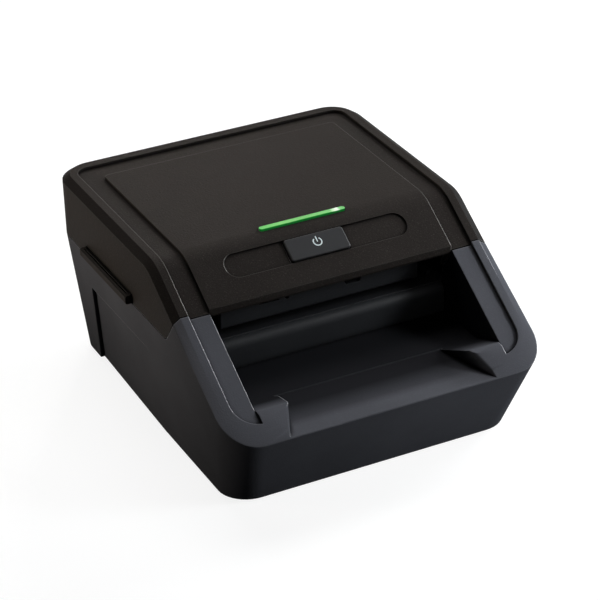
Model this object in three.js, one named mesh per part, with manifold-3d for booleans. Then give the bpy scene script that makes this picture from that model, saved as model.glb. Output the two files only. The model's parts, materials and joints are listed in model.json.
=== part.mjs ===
// A counter-top detector for counterfeit money, in millimetres, +Z up, front towards -Y.
// The origin is on the table, below the middle of the part.
import * as THREE from 'three';
import { mergeVertices } from 'three/addons/utils/BufferGeometryUtils.js';
import Module from 'manifold-3d';

const wasm = await Module();
wasm.setup();
const degree = Math.PI / 180;

// Overall form
const bodyWidth = 118;
const bodyDepth = 147;
const bodyHeight = 70.6;
const footHeight = 1.5;
const partingShare = 0.67989;
const slopeFallShare = 0.55355;
const topDepthShare = 0.57619;
const lidSlopeShare = 0.12993;
const creaseRadius = 16;
const cornerRadius = 12;
const fasciaRun = 14.3;
const bottomInset = 5.2;
const rearInset = 2.5;
const partingGap = 0.35;
const seatGap = 0.3;
const wall = 2.2;
const over = 6;
const mergeGap = 1e-4;
const far = bodyHeight + bodyHeight + bodyHeight;

// Sides of a round, and steps of a curved corner
const smallSides = 16;
const roundSides = 24;
const largeSides = 32;
const fewSteps = 3;
const curveSteps = 4;
const cornerSteps = 5;
const toothSteps = 4;

// Rim, channel and raised middle, which run over the lid and on down the arms
const chamferWidth = 2.8;
const chamferDrop = 1.9;
const frontChamferDrop = 0.7;
const frontChamferWidth = 3.4;
const rimWidth = 2.9;
const rearRimWidth = 3.6;
const stepDepth = 1.2;
const channelWidth = 7.7;
const plateauSetback = 15.9;
const plateauCorner = 1.6;
const rimInnerCorner = 5;

// Lid
const lidWall = 2.4;
const lipThickness = 3;
const cheekRun = 6.4;
const cheekRise = 8.6;
const cheekCorner = 3.6;

// Slope recess, power button and status bar
const recessLength = 68.4;
const recessWidth = 9.4;
const recessSetback = 8.7;
const recessDepth = 0.7;
const buttonLength = 22;
const buttonWidth = 8.6;
const buttonCorner = 0.9;
const buttonProud = 0.7;
const buttonGap = 0.3;
const buttonFlange = 1.4;
const buttonFlangeThickness = 1;
const buttonStemRadius = 1.6;
const buttonStemLength = 1.6;
const buttonTravel = 0.6;
const barLength = 32.4;
const barWidth = 2;
const barSetback = 3.5;
const barProud = 0.7;
const barDepth = 9.4;

// Bay between the arms, cross bar and scoop
const bayFloorShare = 0.43909;
const barInnerSetback = 11;
const barTopStrip = 2.4;
const rampRun = 15;
const rampRadius = 9;
const bandEndSetback = 7;
const scoopRearHalf = 35.2;
const scoopFrontHalf = 39.6;
const scoopDepth = 14;
const scoopFillet = 1.8;
const bayRearRun = 6.8;

// Finger recesses low on the side walls
const gripRecessDepth = 1.3;
const gripRecessHeight = 34;
const gripRecessRear = 27.2;
const gripRecessLean = 7;
const gripRecessLength = 52;

// Note path
const deckShare = 0.60198;
const deckThickness = 2.2;
const deckNoseRadius = 4;
const deckNoseRun = 2;
const fenceHalfGap = 43;
const fenceWidth = 1.2;
const fenceHeight = 1.5;
const noteGap = 1.3;
const exitHalfWidth = 45;
const guideHalfWidth = 37.5;
const guideThickness = 1.8;
const guideFrontShare = 0.51832;
const guideRearSetback = 7.5;
const guideLipHeight = 12;
const guideNoseRadius = 1.4;
const guideSlotShares = [0.62, 0.42, 0.34];
const guideTabShares = [0.22, 0.26, 0.4, 0.44];

// Inner ribs of the housing, which carry the deck and the shafts
const ribHeight = 16;

// Rollers, shafts and gears
const driveRadius = 8;
const driveProud = 0.4;
const driveWidth = 12;
const driveShaftRadius = 2;
const runningGap = 0.08;
const rollerOffset = 22;
const frontShaftY = -2;
const pinchRadius = 5;
const pinchWidth = 11;
const pinchShaftRadius = 1.5;
const windowMargin = 1.2;
const toothModule = 0.8;
const gearTeeth = 20;
const pinionTeeth = 12;
const gearThickness = 3.2;
const pressureAngle = 20 * degree;
const toothBacklash = 0.14;
const tipShare = 0.85;
const rootShare = 1.2;
const centreSlack = 0.06;
const gearPinRadius = 1.5;
const motorRadius = 7.6;
const motorLength = 16;
const motorShaftRadius = 1;
const motorFlatShare = 0.8;
const motorBossShare = 0.33;
const crownShare = 0.05;

// Sensors and boards
const headLength = 18;
const headWidth = 7;
const headRadius = 2.3;
const headProud = 0.4;
const sensorLength = 60;
const sensorWidth = 9;
const sensorThickness = 1.6;
const boardThickness = 1.6;
const mainBoardLength = 62;
const mainBoardWidth = 72;
const mainBoardHeight = 9;
const chipShares = [0.2, 0.32, 0.12];
const lidBoardLength = 56;
const lidBoardWidth = 8.8;
const switchSide = 6;
const switchHeight = 2.2;
const switchPlungerRadius = 1.7;
const switchPlungerHeight = 1;

// Hinge at the rear corners of the parting line
const hingeRadius = 2.5;
const hingePinRadius = 1;
const hingeEarWidth = 3.8;
const hingeRelief = 0.65;

// Latches with grip bars on the two sides
const gripProud = 2.6;
const gripHeight = 3.2;
const gripRearSetback = 29;
const gripLength = 40.5;
const gripRise = 0.6;
const gripGroove = 0.5;
const latchPlate = 1.6;
const latchPlateHeight = 14;
const latchFootDrop = 3.6;
const latchSetback = 0.7;
const latchEndShare = 0.125;

// Sockets in the rear wall
const jackSide = 9;
const jackDepth = 12;
const jackBore = 3;
const jackX = -34;
const contactShare = 0.8;
const tongueShares = [0.33, 0.5, 0.72];
const usbWidth = 12;
const usbHeight = 4.6;
const usbDepth = 11;
const usbSkin = 0.5;
const usbX = -16;

// Bottom plate, its screws and the feet
const plateThickness = 2.2;
const plateGap = 0.3;
const bossRadius = 3.6;
const bossHeight = 14;
const bossX = 46;
const bossFrontSetback = 33.5;
const bossRearSetback = 15.5;
const screwRadius = 1.4;
const screwHeadRadius = 2.7;
const screwHeadHeight = 1.1;
const screwLength = 8;
const footRadius = 5;
const footSink = 0.8;
const footChamfer = 0.5;
const footX = 38;
const footFrontSetback = 26.5;
const footRearSetback = 13.5;

// Places that follow from the sizes above
const half = bodyWidth / 2;
const front = -bodyDepth / 2;
const rear = bodyDepth / 2;
const partingHeight = bodyHeight * partingShare;
const bayFloorHeight = bodyHeight * bayFloorShare;
const deckHeight = bodyHeight * deckShare;
const creaseY = rear - bodyDepth * topDepthShare;
const lidFrontY = creaseY - bodyDepth * lidSlopeShare;
const slopeAngle = Math.atan((bodyHeight * slopeFallShare) / (creaseY - front));
const slopeRise = Math.tan(slopeAngle);
const rimHalf = half - chamferWidth - rimWidth;
const bayHalf = rimHalf - channelWidth;
const fasciaTop = slopeHeight(front, frontChamferDrop);
const edgeRise = (slopeHeight(lidFrontY, chamferDrop) - fasciaTop) / (lidFrontY - front);
const bendY = front + (partingHeight - fasciaTop) / edgeRise;
const sideDraft = bottomInset / (partingHeight - footHeight);
const barInnerY = front + barInnerSetback;
const bayRearY = lidFrontY + bayRearRun;
const rearShaftY = frontShaftY + 2 * (toothModule * gearTeeth + centreSlack);
const driveZ = deckHeight + driveProud - driveRadius;
const pinchZ = deckHeight + driveProud + seatGap + pinchRadius;
const hingeY = rear - hingeRadius;
const guideBottom = deckHeight + noteGap;
const guideFrontY = lidFrontY + (creaseY - lidFrontY) * guideFrontShare;
const guideRearY = rear - guideRearSetback;
const sill = deckHeight - deckThickness - seatGap;
const gearX = bayHalf + wall + seatGap;
const plateTop = footHeight + plateThickness;
const gripFront = rear - gripRearSetback - gripLength;
const bossFrontY = front + bossFrontSetback;
const bossRearY = rear - bossRearSetback;
const footFrontY = front + footFrontSetback;
const footRearY = rear - footRearSetback;

// Height of the front slope at a place along Y, lowered square to its surface
function slopeHeight(y, drop) {
  return bodyHeight - (creaseY - y) * slopeRise - drop / Math.cos(slopeAngle);
}

// Outline through points [x, y, radius], with each corner rounded by its own radius
function rounded(points) {
  const shape = new THREE.Shape();
  const count = points.length;
  points.forEach(([x, y, radius = 0], i) => {
    if (radius === 0) {
      if (i === 0) shape.moveTo(x, y);
      else shape.lineTo(x, y);
      return;
    }
    const corner = new THREE.Vector2(x, y);
    const back = points[(i + count - 1) % count];
    const ahead = points[(i + 1) % count];
    const a = new THREE.Vector2(back[0], back[1]).sub(corner).normalize();
    const b = new THREE.Vector2(ahead[0], ahead[1]).sub(corner).normalize();
    const halfTurn = Math.acos(THREE.MathUtils.clamp(a.dot(b), -1, 1)) / 2;
    const middle = a.clone().add(b).normalize().multiplyScalar(radius / Math.sin(halfTurn)).add(corner);
    const reach = radius / Math.tan(halfTurn);
    const start = a.multiplyScalar(reach).add(corner).sub(middle);
    const end = b.multiplyScalar(reach).add(corner).sub(middle);
    const clockwise = start.cross(end) < 0;
    const { x: cx, y: cy } = middle;
    const arc = new THREE.EllipseCurve(cx, cy, radius, radius, start.angle(), end.angle(), clockwise);
    const first = arc.getPoint(0);
    if (i > 0) shape.lineTo(first.x, first.y);
    shape.curves.push(arc);
    shape.currentPoint.copy(arc.getPoint(1));
  });
  return shape;
}

// Rectangle about a middle, with all corners rounded alike
function rectangle(width, height, radius, x = 0, y = 0) {
  const w = width / 2;
  const h = height / 2;
  const corners = [[x - w, y - h], [x + w, y - h], [x + w, y + h], [x - w, y + h]];
  return rounded(corners.map((corner) => [...corner, radius]));
}

// Extrusion of an outline between two levels; a chamfer [inset, height] cuts both end edges
function extrude(shape, low, high, chamfer, segments = fewSteps) {
  const [inset, height] = chamfer ?? [0, 0];
  const geometry = new THREE.ExtrudeGeometry(shape, {
    depth: high - low - 2 * height,
    curveSegments: segments,
    bevelEnabled: Boolean(chamfer),
    bevelSize: inset,
    bevelOffset: -inset,
    bevelThickness: height,
    bevelSegments: 1,
  });
  return geometry.translate(0, 0, low + height);
}

// Outline in (y, z), drawn out along X
function alongX(shape, low, high, chamfer, segments) {
  const turn = new THREE.Matrix4().makeBasis(axisY, axisZ, axisX);
  return extrude(shape, low, high, chamfer, segments).applyMatrix4(turn);
}

// Outline in (x, z), drawn out along Y
function alongY(shape, low, high, chamfer, segments) {
  const turn = new THREE.Matrix4().makeBasis(axisX, axisZ, axisY.clone().negate());
  return extrude(shape, -high, -low, chamfer, segments).applyMatrix4(turn);
}

const axisX = new THREE.Vector3(1, 0, 0);
const axisY = new THREE.Vector3(0, 1, 0);
const axisZ = new THREE.Vector3(0, 0, 1);

// Geometry drawn on the front slope: x across, y up the slope from the crease, z out of its surface
function onSlope(geometry) {
  return geometry.applyMatrix4(slopePlace());
}
function slopePlace() {
  const up = new THREE.Vector3(0, Math.cos(slopeAngle), Math.sin(slopeAngle));
  const out = new THREE.Vector3(0, -Math.sin(slopeAngle), Math.cos(slopeAngle));
  return new THREE.Matrix4().makeBasis(axisX, up, out).setPosition(0, creaseY, bodyHeight);
}

// Box between two corners
function block(x0, x1, y0, y1, z0, z1) {
  const box = new THREE.BoxGeometry(x1 - x0, y1 - y0, z1 - z0);
  return box.translate((x0 + x1) / 2, (y0 + y1) / 2, (z0 + z1) / 2);
}

// Cylinder along X between two places, about (y, z)
function rodX(radius, x0, x1, y, z, sides = roundSides) {
  const rod = new THREE.CylinderGeometry(radius, radius, x1 - x0, sides).rotateZ(Math.PI / 2);
  return rod.translate((x0 + x1) / 2, y, z);
}

// Cylinder along Z between two heights, about (x, y)
function rodZ(radius, z0, z1, x, y, sides = roundSides) {
  const rod = new THREE.CylinderGeometry(radius, radius, z1 - z0, sides).rotateX(Math.PI / 2);
  return rod.translate(x, y, (z0 + z1) / 2);
}

// Manifold solid of a closed geometry
function solid(geometry) {
  const bare = geometry.clone();
  bare.deleteAttribute('normal');
  bare.deleteAttribute('uv');
  const merged = mergeVertices(bare, mergeGap);
  return new wasm.Manifold(new wasm.Mesh({
    numProp: 3,
    vertProperties: merged.attributes.position.array,
    triVerts: new Uint32Array(merged.index.array),
  }));
}

// All the geometries added to, or cut from, a solid
function add(start, ...geometries) {
  return geometries.reduce((sum, geometry) => sum.add(asSolid(geometry)), asSolid(start));
}
function cut(start, ...geometries) {
  return geometries.reduce((rest, geometry) => rest.subtract(asSolid(geometry)), asSolid(start));
}
function asSolid(item) {
  return item.isBufferGeometry ? solid(item) : item;
}

// The same geometry on both sides of the middle plane
function bothSides(make) {
  return [make(1), make(-1)];
}

// Block that is given by its near and far distance from the middle plane, on one side
function sideBlock(side, x0, x1, y0, y1, z0, z1) {
  return block(Math.min(side * x0, side * x1), Math.max(side * x0, side * x1), y0, y1, z0, z1);
}
function sideRod(side, radius, x0, x1, y, z, sides) {
  return rodX(radius, Math.min(side * x0, side * x1), Math.max(side * x0, side * x1), y, z, sides);
}

// Geometry of a solid, for a mesh
function geometryOf(made) {
  const mesh = made.getMesh();
  const flat = new THREE.BufferGeometry();
  const points = [];
  for (const index of mesh.triVerts) {
    for (let axis = 0; axis < 3; axis += 1) points.push(mesh.vertProperties[index * mesh.numProp + axis]);
  }
  flat.setAttribute('position', new THREE.Float32BufferAttribute(points, 3));
  flat.computeVertexNormals();
  return flat;
}

// Materials
const finishes = {
  lid: { color: 0x17140f, roughness: 0.62, metalness: 0 },
  housing: { color: 0x1c1e21, roughness: 0.5, metalness: 0 },
  button: { color: 0x25262a, roughness: 0.4, metalness: 0 },
  light: { color: 0x39e05a, roughness: 0.3, metalness: 0 },
  inner: { color: 0x14161a, roughness: 0.55, metalness: 0 },
  rubber: { color: 0x101010, roughness: 0.85, metalness: 0 },
  steel: { color: 0x9a9da1, roughness: 0.3, metalness: 1 },
  gear: { color: 0x26272a, roughness: 0.5, metalness: 0 },
  board: { color: 0x0f4a2a, roughness: 0.45, metalness: 0 },
  lens: { color: 0x0a0a18, roughness: 0.12, metalness: 0 },
};
const detector = new THREE.Group();

// Adds a named mesh to a group
function place(name, made, finish, parent = detector) {
  const mesh = new THREE.Mesh(geometryOf(asSolid(made)), new THREE.MeshStandardMaterial(finishes[finish]));
  mesh.name = name;
  parent.add(mesh);
  return mesh;
}

// Height of the edge between a side wall and the chamfer above it
function edgeHeight(y) {
  return fasciaTop + (y - front) * edgeRise;
}

// Housing as rings of one outline: drafted bottom, top of the walls, and the rim on the slope; an inset
// draws the walls in for the inside, which has no rim and goes up without an end
function bodyLoft(inset) {
  const [wide, ahead, back, radius] = [half - inset, front + inset, rear - inset, cornerRadius - inset];
  const outline = rounded([
    [-wide, ahead, radius], [wide, ahead, radius], [wide, bendY],
    [wide, back, radius], [-wide, back, radius], [-wide, bendY],
  ]);
  const inner = inset > 0;
  const low = inner ? footHeight - over : footHeight;
  const rings = inner ? 3 : 4;
  const geometry = new THREE.ExtrudeGeometry(outline, {
    depth: rings - 1,
    steps: rings - 1,
    curveSegments: cornerSteps,
    bevelEnabled: false,
  });
  const places = geometry.getAttribute('position');
  for (let i = 0; i < places.count; i += 1) {
    const [x, y, ring] = [places.getX(i), places.getY(i), Math.round(places.getZ(i))];
    const edge = edgeHeight(y);
    const wallTop = Math.min(partingHeight, edge - partingGap / 2);
    if (ring === 0) {
      const drop = (wallTop - low) / (wallTop - footHeight);
      const along = (y - ahead) / (back - ahead);
      const shift = drop * ((1 - along) * fasciaRun - along * rearInset);
      places.setXYZ(i, x * (1 - (drop * bottomInset) / half), y + shift, low);
    } else if (ring === 1) {
      places.setZ(i, wallTop);
    } else if (inner) {
      places.setZ(i, far);
    } else if (ring === 2) {
      places.setZ(i, edge);
    } else {
      const rimX = x * (1 - chamferWidth / half);
      const turn = front + cornerRadius;
      const rimY = Math.max(y, turn - (turn - y) * (1 - frontChamferWidth / cornerRadius));
      places.setXYZ(i, rimX, rimY, slopeHeight(rimY, 0));
    }
  }
  return solid(geometry);
}

// Outline on the slope of what the rim runs round, drawn in from the sides and the front
function slopeOutline(inset, frontInset, radius, rearEnd) {
  const length = (creaseY - front) / Math.cos(slopeAngle);
  const wide = half - inset;
  return rounded([
    [-wide, frontInset - length, radius], [wide, frontInset - length, radius], [wide, rearEnd], [-wide, rearEnd],
  ]);
}

// Side view of the lid's space, down to a bottom; the shift moves its front edges back
function lidSpace(shift, bottom, corner) {
  const cheekZ = partingHeight + cheekRise;
  const lowerY = lidFrontY + shift + cheekRun * ((cheekZ - bottom) / cheekRise);
  return rounded([
    [rear + over, bottom], [lowerY, bottom, corner],
    [lidFrontY + shift, cheekZ], [lidFrontY + shift, far], [rear + over, far],
  ]);
}

// Side view of the lid's top and slope, lowered square to its surface
function lidSection(drop, rearInsetHere, frontReach, bottom) {
  const top = bodyHeight - drop;
  const bend = creaseY + drop * Math.tan(slopeAngle / 2);
  return rounded([
    [lidFrontY - frontReach, bottom], [rear - rearInsetHere, bottom], [rear - rearInsetHere, top],
    [bend, top, creaseRadius - drop], [lidFrontY - frontReach, slopeHeight(lidFrontY - frontReach, drop)],
  ]);
}

// Plan of the lid with round rear corners
function lidPlan(wide, back, radius) {
  const ahead = lidFrontY - bodyDepth;
  return rounded([[-wide, ahead], [wide, ahead], [wide, back, radius], [-wide, back, radius]]);
}

// Base housing: arms, cross bar, bay, walls and inner ribs
function makeHousing() {
  let body = bodyLoft(0);
  let hollow = bodyLoft(wall);
  const skin = stepDepth + wall;
  hollow = cut(hollow, onSlope(block(-half, half, -bodyDepth, bodyDepth, -skin, bodyDepth)));
  const tubHalf = bayHalf + wall;
  hollow = cut(hollow, block(-tubHalf, tubHalf, front - over, bayRearY, bayFloorHeight - wall, bodyHeight));
  body = body.subtract(hollow);
  body = cut(body, alongX(lidSpace(0, partingHeight, cheekCorner), -half - over, half + over));
  body = cut(body, bay(), scoop(), ...bothSides(armBand), ...bothSides(gripRecess));
  body = body.add(innerRibs().intersect(bodyLoft(wall / 2)));
  body = cut(body, ...shaftHoles(), exitSlot(), ...bothSides(hingeReliefs), ...rearHoles());
  body = body.add(hingeEars());
  const pinBore = (side) => sideRod(side, hingePinRadius + runningGap, 0, half - wall, hingeY, partingHeight);
  return cut(body, ...bothSides(pinBore));
}

// Bay between the arms, with a ramp that rises to the cross bar
function bay() {
  const crest = slopeHeight(barInnerY, 0);
  const profile = rounded([
    [bayRearY + over, bayFloorHeight], [barInnerY + rampRun, bayFloorHeight, rampRadius],
    [barInnerY, crest - stepDepth], [barInnerY - barTopStrip, slopeHeight(barInnerY - barTopStrip, 0)],
    [barInnerY - barTopStrip, bodyHeight + over], [bayRearY + over, bodyHeight + over],
  ]);
  return alongX(profile, -bayHalf, bayHalf);
}

// Wide scoop through the cross bar, for the fingers that take the note, with rounded shoulders
function scoop() {
  const length = (creaseY - front) / Math.cos(slopeAngle);
  const [near, deep] = [-over - length, (barInnerSetback + rampRun) / Math.cos(slopeAngle) - length];
  const slant = (scoopFrontHalf - scoopRearHalf) / (barInnerSetback / Math.cos(slopeAngle));
  const wide = (u) => scoopFrontHalf - (u + length) * slant;
  const shape = rounded([[-wide(near), near], [wide(near), near], [wide(deep), deep], [-wide(deep), deep]]);
  const geometry = new THREE.ExtrudeGeometry(shape, {
    depth: scoopDepth - 2 * scoopFillet,
    bevelEnabled: true,
    bevelSize: -scoopFillet,
    bevelThickness: scoopFillet,
    bevelSegments: curveSteps,
  });
  const cutter = solid(onSlope(geometry.translate(0, 0, scoopFillet - scoopDepth + mergeGap)));
  const room = block(-half, half, front - over, barInnerY + rampRun, bayFloorHeight, bodyHeight);
  return cutter.intersect(solid(room));
}

// Lowered band along the top of an arm
function armBand(side) {
  const rim = chamferWidth + rimWidth;
  const outline = slopeOutline(rim, bandEndSetback, cornerRadius - rim / 2, over);
  const outer = solid(extrude(outline, -stepDepth, over, undefined, cornerSteps));
  const keep = block(side > 0 ? bayHalf - partingGap : -half, side > 0 ? half : partingGap - bayHalf,
    -bodyDepth, bodyDepth, -over, over);
  return outer.intersect(solid(keep)).transform(slopePlace().elements);
}

// Shallow recess that deepens towards the rear, low on a side wall
function gripRecess(side) {
  const back = rear - gripRecessRear;
  const profile = rounded([
    [back - gripRecessLength, gripRecessHeight], [back - gripRecessLength, -over],
    [back + gripRecessLean, -over], [back, gripRecessHeight],
  ]);
  const geometry = alongX(profile, 0, 1);
  const places = geometry.getAttribute('position');
  for (let i = 0; i < places.count; i += 1) {
    const [deep, y, z] = [places.getX(i) < 1 / 2, places.getY(i), places.getZ(i)];
    const surface = half - (partingHeight - z) * sideDraft;
    const depth = gripRecessDepth * ((y - back + gripRecessLength) / gripRecessLength);
    places.setX(i, deep ? surface - Math.max(depth, 0) : half + over);
  }
  const made = solid(geometry);
  return side > 0 ? made : made.mirror([1, 0, 0]);
}

// Two ribs along the housing, with the screw bosses and their webs
function innerRibs() {
  const low = sill - ribHeight;
  const rib = (side) => sideBlock(side, bayHalf, bayHalf + wall, bayRearY - seatGap, rear - wall / 2, low, sill);
  const ribs = bothSides(rib);
  const bosses = [];
  for (const side of [1, -1]) {
    for (const y of [bossFrontY, bossRearY]) {
      const base = plateTop + plateGap;
      bosses.push(rodZ(bossRadius, base, base + bossHeight, side * bossX, y));
      bosses.push(sideBlock(side, bossX, half, y - wall / 2, y + wall / 2, base, base + bossHeight));
    }
  }
  const made = add(ribs[0], ribs[1], ...bosses, motorShelf(), idlerPin());
  const holes = bosses.filter((item, i) => i % 2 === 0).map((item) => {
    item.computeBoundingBox();
    const middle = item.boundingBox.getCenter(new THREE.Vector3());
    return rodZ(screwRadius + runningGap, 0, plateTop + plateGap + screwLength, middle.x, middle.y, smallSides);
  });
  return cut(made, ...holes);
}

// Where the motor's shaft lies: in mesh with the rear gear, at the tooth gap below and behind it
function motorPlace() {
  const reach = (toothModule * (gearTeeth + pinionTeeth)) / 2 + centreSlack;
  return [rearShaftY + reach * Math.SQRT1_2, driveZ - reach * Math.SQRT1_2];
}

// Thickening of the right rib that the motor is bolted to
function motorShelf() {
  const [y, z] = motorPlace();
  return rodX(motorRadius, bayHalf, bayHalf + wall, y, z);
}

// Pin that the idler gear runs on
function idlerPin() {
  const y = (frontShaftY + rearShaftY) / 2;
  return rodX(gearPinRadius, bayHalf + wall / 2, gearX + gearThickness + seatGap + wall / 2, y, driveZ);
}

// Holes of the ribs for the two shafts and for the motor's shaft
function shaftHoles() {
  const [y, z] = motorPlace();
  const radius = driveShaftRadius + runningGap;
  return [
    rodX(radius, -bayHalf - 2 * wall, bayHalf + 2 * wall, frontShaftY, driveZ),
    rodX(radius, -bayHalf - 2 * wall, bayHalf + 2 * wall, rearShaftY, driveZ),
    rodX(motorShaftRadius + seatGap, 0, bayHalf + wall + over, y, z),
  ];
}

// Slot in the rear wall where notes leave
function exitSlot() {
  return block(-exitHalfWidth, exitHalfWidth, rear - over, rear + over, sill, bodyHeight);
}

// Room for the lower edge of the lid as it turns, beside the ears
function hingeReliefs(side) {
  const earEnd = exitHalfWidth + 2 * seatGap + hingeEarWidth;
  return sideRod(side, hingeRadius + hingeRelief, earEnd, half, hingeY, partingHeight, largeSides);
}

// Two ears that hold the hinge pins
function hingeEars() {
  const parts = [];
  for (const side of [1, -1]) {
    const [near, end] = [exitHalfWidth + 2 * seatGap, exitHalfWidth + 2 * seatGap + hingeEarWidth];
    parts.push(sideRod(side, hingeRadius, near, end, hingeY, partingHeight));
    parts.push(sideBlock(side, near, end, hingeY - hingeRadius, rear - wall / 2, sill, partingHeight));
  }
  return add(parts[0], ...parts.slice(1));
}

// Openings of the rear wall for the two sockets
function rearHoles() {
  const z = mainBoardHeight + boardThickness + seatGap;
  return [
    block(jackX - jackSide / 2 - seatGap, jackX + jackSide / 2 + seatGap, rear - 2 * over, rear + over,
      z - seatGap, z + jackSide + seatGap),
    block(usbX - usbWidth / 2 - seatGap, usbX + usbWidth / 2 + seatGap, rear - 2 * over, rear + over,
      z - seatGap, z + usbHeight + seatGap),
  ];
}

// Upper cover as a shell, with its channel, recess, lip, hinge barrel and posts
function makeLid() {
  const chamfer = [chamferDrop, chamferWidth];
  const section = alongX(lidSection(0, 0, over, -over), -half, half, chamfer, curveSteps);
  const planChamfer = [chamferWidth, chamferDrop];
  const plan = extrude(lidPlan(half, rear, cornerRadius), -bodyHeight, bodyHeight, planChamfer, cornerSteps);
  const space = alongX(lidSpace(partingGap, partingHeight + partingGap, cheekCorner), -half, half);
  const outer = solid(section).intersect(solid(plan)).intersect(solid(space));
  const innerSection = lidSection(lidWall, lidWall, over, -over);
  const inside = alongX(innerSection, lidWall - half, half - lidWall, undefined, curveSteps);
  const innerOutline = lidPlan(half - lidWall, rear - lidWall, cornerRadius - lidWall);
  const insidePlan = extrude(innerOutline, -over, bodyHeight, undefined, curveSteps);
  const insideSpace = alongX(lidSpace(lidWall + partingGap, -over, 0), -half, half);
  const hollow = solid(inside).intersect(solid(insidePlan)).intersect(solid(insideSpace));
  let lid = outer.subtract(hollow).subtract(channel());
  const lipBottom = slopeHeight(lidFrontY, 0) - lipThickness;
  lid = cut(lid, block(-bayHalf, bayHalf, lidFrontY - over, bayRearY + over, 0, lipBottom));
  lid = add(lid, rodX(hingeRadius, -exitHalfWidth, exitHalfWidth, hingeY, partingHeight), ...lidPosts());
  const earEnd = exitHalfWidth + 2 * seatGap + hingeEarWidth + seatGap;
  const earRoom = (side) => sideRod(side, hingeRadius + hingeRelief, exitHalfWidth, earEnd, hingeY, partingHeight);
  const blindBore = (side) => sideRod(side, hingePinRadius + runningGap, exitHalfWidth - hingeEarWidth,
    half - lidWall, hingeY, partingHeight);
  const gripSlot = (side) => sideBlock(side, half - over, half + over, gripFront - seatGap,
    gripFront + gripLength + seatGap, 0, partingHeight + gripRise + gripHeight + seatGap);
  lid = cut(lid, ...bothSides(earRoom), ...bothSides(blindBore), ...bothSides(gripSlot));
  return cut(lid, slopeRecess(), buttonHole(), barSlot());
}

// Channel between the rim and the raised middle
function channel() {
  const rimOutline = lidPlan(rimHalf, rear - chamferWidth - rearRimWidth, rimInnerCorner);
  const outer = extrude(rimOutline, 0, bodyHeight + over);
  const middle = extrude(lidPlan(bayHalf, rear - plateauSetback, plateauCorner), -over, bodyHeight + 2 * over);
  const kept = alongX(lidSection(stepDepth, -over, over, -over), -half, half, undefined, curveSteps);
  return cut(outer, middle, kept);
}

// Shallow recess with round ends on the slope
function slopeRecess() {
  const shape = rectangle(recessLength, recessWidth, recessWidth / 2 - seatGap, 0, -recessSetback);
  return onSlope(extrude(shape, -recessDepth, over, undefined, cornerSteps));
}

// Hole that the button stands in
function buttonHole() {
  const [length, width] = [buttonLength + 2 * buttonGap, buttonWidth + 2 * buttonGap];
  return onSlope(extrude(rectangle(length, width, buttonCorner + buttonGap, 0, -recessSetback), -over, over));
}

// Slot of the status bar
function barSlot() {
  const [length, width] = [barLength + 2 * runningGap, barWidth + 2 * runningGap];
  const shape = rectangle(length, width, barWidth / 2, 0, creaseY + barSetback);
  return extrude(shape, bodyHeight - over, bodyHeight + over, undefined, curveSteps);
}

// Posts inside the lid for its board and for the upper guide
function lidPosts() {
  const boardTop = -lidBoardDrop() + boardThickness + seatGap;
  const boardPosts = bothSides((side) => {
    const away = side * (lidBoardLength / 2 - bossRadius);
    return onSlope(rodZ(bossRadius / 2, boardTop, -lidWall / 2, away, -recessSetback, smallSides));
  });
  const low = guideBottom + guideThickness + seatGap;
  const top = bodyHeight - lidWall / 2;
  const x = guideHalfWidth - bossRadius - seatGap;
  const pair = (y) => bothSides((side) => rodZ(bossRadius, low, top, side * x, y));
  const guidePosts = guidePostPlaces().flatMap(pair);
  return [...boardPosts, ...guidePosts];
}

// Where the guide's posts stand along Y
function guidePostPlaces() {
  const gap = (rearShaftY - frontShaftY) / 2;
  return [frontShaftY + gap, rearShaftY + gap];
}

// Depth of the lid board's underside below the slope
function lidBoardDrop() {
  const stem = stemBottomDepth();
  return stem + buttonTravel + runningGap + switchPlungerHeight + switchHeight + seatGap + boardThickness;
}

// Depth of the button's stem below the slope
function stemBottomDepth() {
  return lidWall + seatGap + buttonFlangeThickness + buttonStemLength;
}

// Power button: domed cap, flange and stem, drawn on the slope
function makeButton() {
  const cap = rectangle(buttonLength, buttonWidth, buttonCorner, 0, -recessSetback);
  const [length, width] = [buttonLength + 2 * buttonFlange, buttonWidth + 2 * buttonFlange];
  const flange = rectangle(length, width, buttonFlange, 0, -recessSetback);
  const flangeTop = -lidWall - seatGap;
  const bottom = -stemBottomDepth();
  const stem = rodZ(buttonStemRadius, bottom, bottom + buttonStemLength + seatGap, 0, -recessSetback, smallSides);
  return add(
    onSlope(extrude(cap, flangeTop - seatGap, buttonProud, [buttonGap, buttonGap])),
    onSlope(extrude(flange, flangeTop - buttonFlangeThickness, flangeTop)),
    onSlope(stem),
  );
}

// Status bar: a light pipe from the board to the top
function makeBar() {
  const y = creaseY + barSetback;
  const top = bodyHeight + barProud;
  const shape = rectangle(barLength, barWidth, barWidth / 2 - runningGap, 0, y);
  return solid(extrude(shape, top - barDepth, top, undefined, curveSteps));
}

// Small board behind the slope, and the push switch on it
function makeLidBoard() {
  const low = -lidBoardDrop();
  const top = low + boardThickness;
  const shape = rectangle(lidBoardLength, lidBoardWidth, boardThickness, 0, -recessSetback);
  const plug = onSlope(block(lidBoardLength / 2 - 2 * switchSide, lidBoardLength / 2 - switchSide,
    -recessSetback - bossRadius, -recessSetback + bossRadius, low - boardThickness, low + boardThickness / 2));
  return add(onSlope(extrude(shape, low, top)), plug);
}
function makeSwitch() {
  const low = -lidBoardDrop() + boardThickness + seatGap;
  const side = switchSide / 2;
  const body = block(-side, side, -recessSetback - side, -recessSetback + side, low, low + switchHeight);
  const top = low + switchHeight + switchPlungerHeight;
  const plunger = rodZ(switchPlungerRadius, low + switchHeight / 2, top, 0, -recessSetback);
  return add(onSlope(body), onSlope(plunger));
}

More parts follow.
